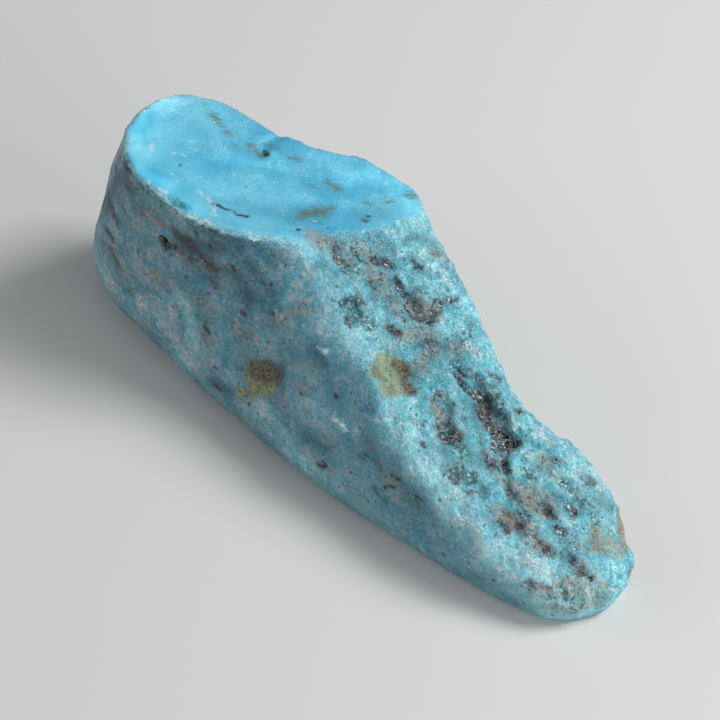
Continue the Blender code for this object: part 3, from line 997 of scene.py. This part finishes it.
def turquoiseFinish():
    look = turquoiseLook
    finish = Finish("turquoise")
    wires = turquoiseWires(finish)

    def amount(share, byPlace={}):
        for name, more in byPlace.items():
            share = share + wires[name] * more
        return share

    def veil(noises, low, high, share=1.0, byPlace={}):
        shown = amount(share, byPlace)
        return finish.step(amount(0.0, noises), low, high) * shown if noises else shown

    def veiled(base, veils):
        for name, *where in veils:
            base = finish.blend(veil(*where), base, look[name])
        return base

    def edge(kind, frays, low, high):
        field = finish.field(kind)
        for name, fray in frays.items():
            field = field + (wires[name] - 0.5) * fray
        return finish.step(field, low, high)

    def ragged(kind, fray, soft):
        frays = {name: share * fray for name, share in look["fray"].items()}
        return edge(kind, frays, -soft, soft)

    def swing(parts):
        # noises swinging about nothing
        return sum((wires[name] - 0.5) * amount(*size) for name, size in parts.items())

    side = veiled(look["sideDeep"], look["sideVeils"])
    slope = veiled(look["roughDeep"], look["slopeVeils"])
    paint = finish.blend(wires["rough"], side, slope)
    for kind, name, *where in look["fleckVeils"]:
        paint = finish.blend(wires[kind] * veil(*where), paint, look[name])
    for name, *where in look["strayTints"]:
        paint = finish.tinted(veil(*where), paint, look[name])
    paint = finish.blend(wires["sawn"], paint, veiled(look["sawnDeep"], look["sawnVeils"]))

    # the broad zones, partly tone and partly painted shade and painted light
    for kind, name, frays, low, high, share, byPlace in look["zoneTints"]:
        zone = edge(kind, frays, low, high) * amount(share, byPlace)
        wires.setdefault(kind, zone)
        paint = finish.tinted(zone, paint, look[name])

    for kind, name, sort, share, more, veils in look["marks"]:
        wires[kind] = ragged(kind, *sort) if len(sort) == 2 else edge(kind, *sort)
        shown = amount(*share)
        if more:
            shown = shown + veil(*more)
        paint = finish.blend(wires[kind] * shown, paint, veiled(look[name], veils))

    natural = wires["natural"]
    # the deep zones on the smooth side, partly painted shade, get livelier grain
    wires["sideDeep"] = wires["deepAndShaded"] * (1.0 - wires["rough"])
    wires["crystal"] = wires["quartz"].largest(wires["glass"])
    shade = swing(look["shade"]) * amount(*look["shadeShare"]) * amount(*look["lively"])
    paint = finish.vectors("SCALE", {0: paint, "Scale": 1.0 + shade})
    gloss = amount(*look["gloss"]) + (wires["crumb"] - 0.5) * look["glossCrumbs"] * natural
    height = swing(look["relief"]) * amount(*look["reliefShare"])
    facets = amount(*look["facet"]) * natural + wires["quartz"] * look["quartzFacet"]
    hollows = wires["pit"] * look["pitDepth"] + wires["blot"] * look["blotDepth"]
    height = height + wires["facet"] * facets - hollows * natural
    relief = finish.add("ShaderNodeBump", {}, {"Height": height, "Strength": 1.0, "Distance": 1.0 * mm})
    finish.plug(finish.shader, "Base Color", paint)
    finish.plug(finish.shader, "Roughness", gloss)
    finish.plug(finish.shader, "Normal", relief)
    finish.plug(finish.shader, "IOR", look["ior"])
    return finish.material


grainLook = {
    "count": 1500,
    "smallest": 0.07,     # mm
    "largest": 0.20,
    "stretch": (0.6, 1.4),
    "sides": 5,
    "tipWidth": 0.45,     # share of the width at the foot
    "length": 1.6,
    "sunk": 0.30,         # share of its size that a grain sits below the surface
    "edge": 0.15,         # mm inside a quartz mark where grains begin
    "black": colour(20, 22, 26),
    "smoky": colour(84, 88, 92),
    "clear": colour(196, 202, 206),
    "smokyFrom": (0.35, 0.65),
    "clearFrom": (0.84, 0.90),
    "gloss": 0.14,
    "glossMore": 0.2,     # in the last grain
    "ior": 1.55,
}


def quartzGrains(stone, fields, randomly):
    points, ways = readPoints(stone.data)
    beds = np.nonzero(fields["quartz"] > grainLook["edge"])[0]
    bm = bmesh.new()
    for _ in range(grainLook["count"]):
        index = int(randomly.choice(beds))
        size = randomly.uniform(grainLook["smallest"], grainLook["largest"]) * mm
        stretch = Vector([randomly.uniform(*grainLook["stretch"]) * size for _ in range(3)])
        turn = Vector([randomly.uniform(-1.0, 1.0) for _ in range(3)]).to_track_quat("Z", "Y")
        spot = Vector(points[index]) - Vector(ways[index]) * (size * grainLook["sunk"])
        bmesh.ops.create_cone(bm, cap_ends=True, segments=grainLook["sides"], radius1=1.0,
                              radius2=grainLook["tipWidth"], depth=grainLook["length"],
                              matrix=Matrix.LocRotScale(spot, turn, stretch))
    for face in bm.faces:
        face.smooth = False
    mesh = bpy.data.meshes.new("quartzGrains")
    bm.to_mesh(mesh)
    bm.free()
    each = len(mesh.vertices) // grainLook["count"]
    tones = np.repeat([randomly.random() for _ in range(grainLook["count"])], each)
    stored = mesh.attributes.new("tone", "FLOAT", "POINT")
    stored.data.foreach_set("value", tones.astype(np.float32))
    grains = bpy.data.objects.new("quartzGrains", mesh)
    bpy.context.scene.collection.objects.link(grains)
    return grains


def quartzFinish():
    look = grainLook
    finish = Finish("smoky quartz")
    tone = finish.field("tone")
    paint = finish.blend(finish.step(tone, *look["smokyFrom"]), look["black"], look["smoky"])
    paint = finish.blend(finish.step(tone, *look["clearFrom"]), paint, look["clear"])
    finish.plug(finish.shader, "Base Color", paint)
    finish.plug(finish.shader, "Roughness", look["gloss"] + tone * look["glossMore"])
    finish.plug(finish.shader, "IOR", look["ior"])
    return finish.material


grains = quartzGrains(stone, fields, randomly)
stone.data.materials.clear()
stone.data.materials.append(turquoiseFinish())
grains.data.materials.append(quartzFinish())
print("finishes made,", len(grains.data.polygons), "grain faces")


studio = {
    "floorSide": 3.0,
    "floorDrop": 0.02 * mm,           # keeps the stone's sole clear of the table top
    "floor": colour(206, 206, 204),
    "floorRough": 0.8,
    "sky": colour(222, 228, 234),
    "skyStrength": 0.26,
    "lightDistance": 0.55,
    "lights": {                       # right, up and towards the camera; side in m; power in W
        "key light": ((0.66, 0.54, 0.52), 0.22, 2.7),
        "fill light": ((-0.95, 0.25, 0.15), 0.44, 1.1),
        "toe light": ((0.80, -0.34, 0.62), 0.33, 1.7),
    },
}


def layTable():
    bm = bmesh.new()
    bmesh.ops.create_grid(bm, x_segments=1, y_segments=1, size=studio["floorSide"] / 2)
    mesh = bpy.data.meshes.new("table")
    bm.to_mesh(mesh)
    bm.free()
    table = bpy.data.objects.new("table", mesh)
    table.location.z = -studio["floorDrop"]
    bpy.context.scene.collection.objects.link(table)
    finish = Finish("pale table")
    finish.plug(finish.shader, "Base Color", studio["floor"])
    finish.plug(finish.shader, "Roughness", studio["floorRough"])
    mesh.materials.append(finish.material)


def hangLight(name, way, side, power):
    right, up, back = cameraAxes()
    towards = (right * way[0] + up * way[1] + back * way[2]).normalized()
    data = bpy.data.lights.new(name, "AREA")
    data.size = side
    data.energy = power
    lamp = bpy.data.objects.new(name, data)
    lamp.location = cameraLook["aim"] + towards * studio["lightDistance"]
    lamp.rotation_mode = "QUATERNION"
    lamp.rotation_quaternion = towards.to_track_quat("Z", "Y")
    bpy.context.scene.collection.objects.link(lamp)


def setStudio():
    layTable()
    for name, (way, side, power) in studio["lights"].items():
        hangLight(name, way, side, power)
    world = bpy.data.worlds.new("studio")
    world.use_nodes = True
    backdrop = world.node_tree.nodes["Background"]
    backdrop.inputs["Color"].default_value = studio["sky"]
    backdrop.inputs["Strength"].default_value = studio["skyStrength"]
    bpy.context.scene.world = world
    bpy.context.scene.view_settings.view_transform = "Standard"


setStudio()
print("studio set")

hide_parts("nugget")
for piece in (stone, grains):
    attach(piece, "root")
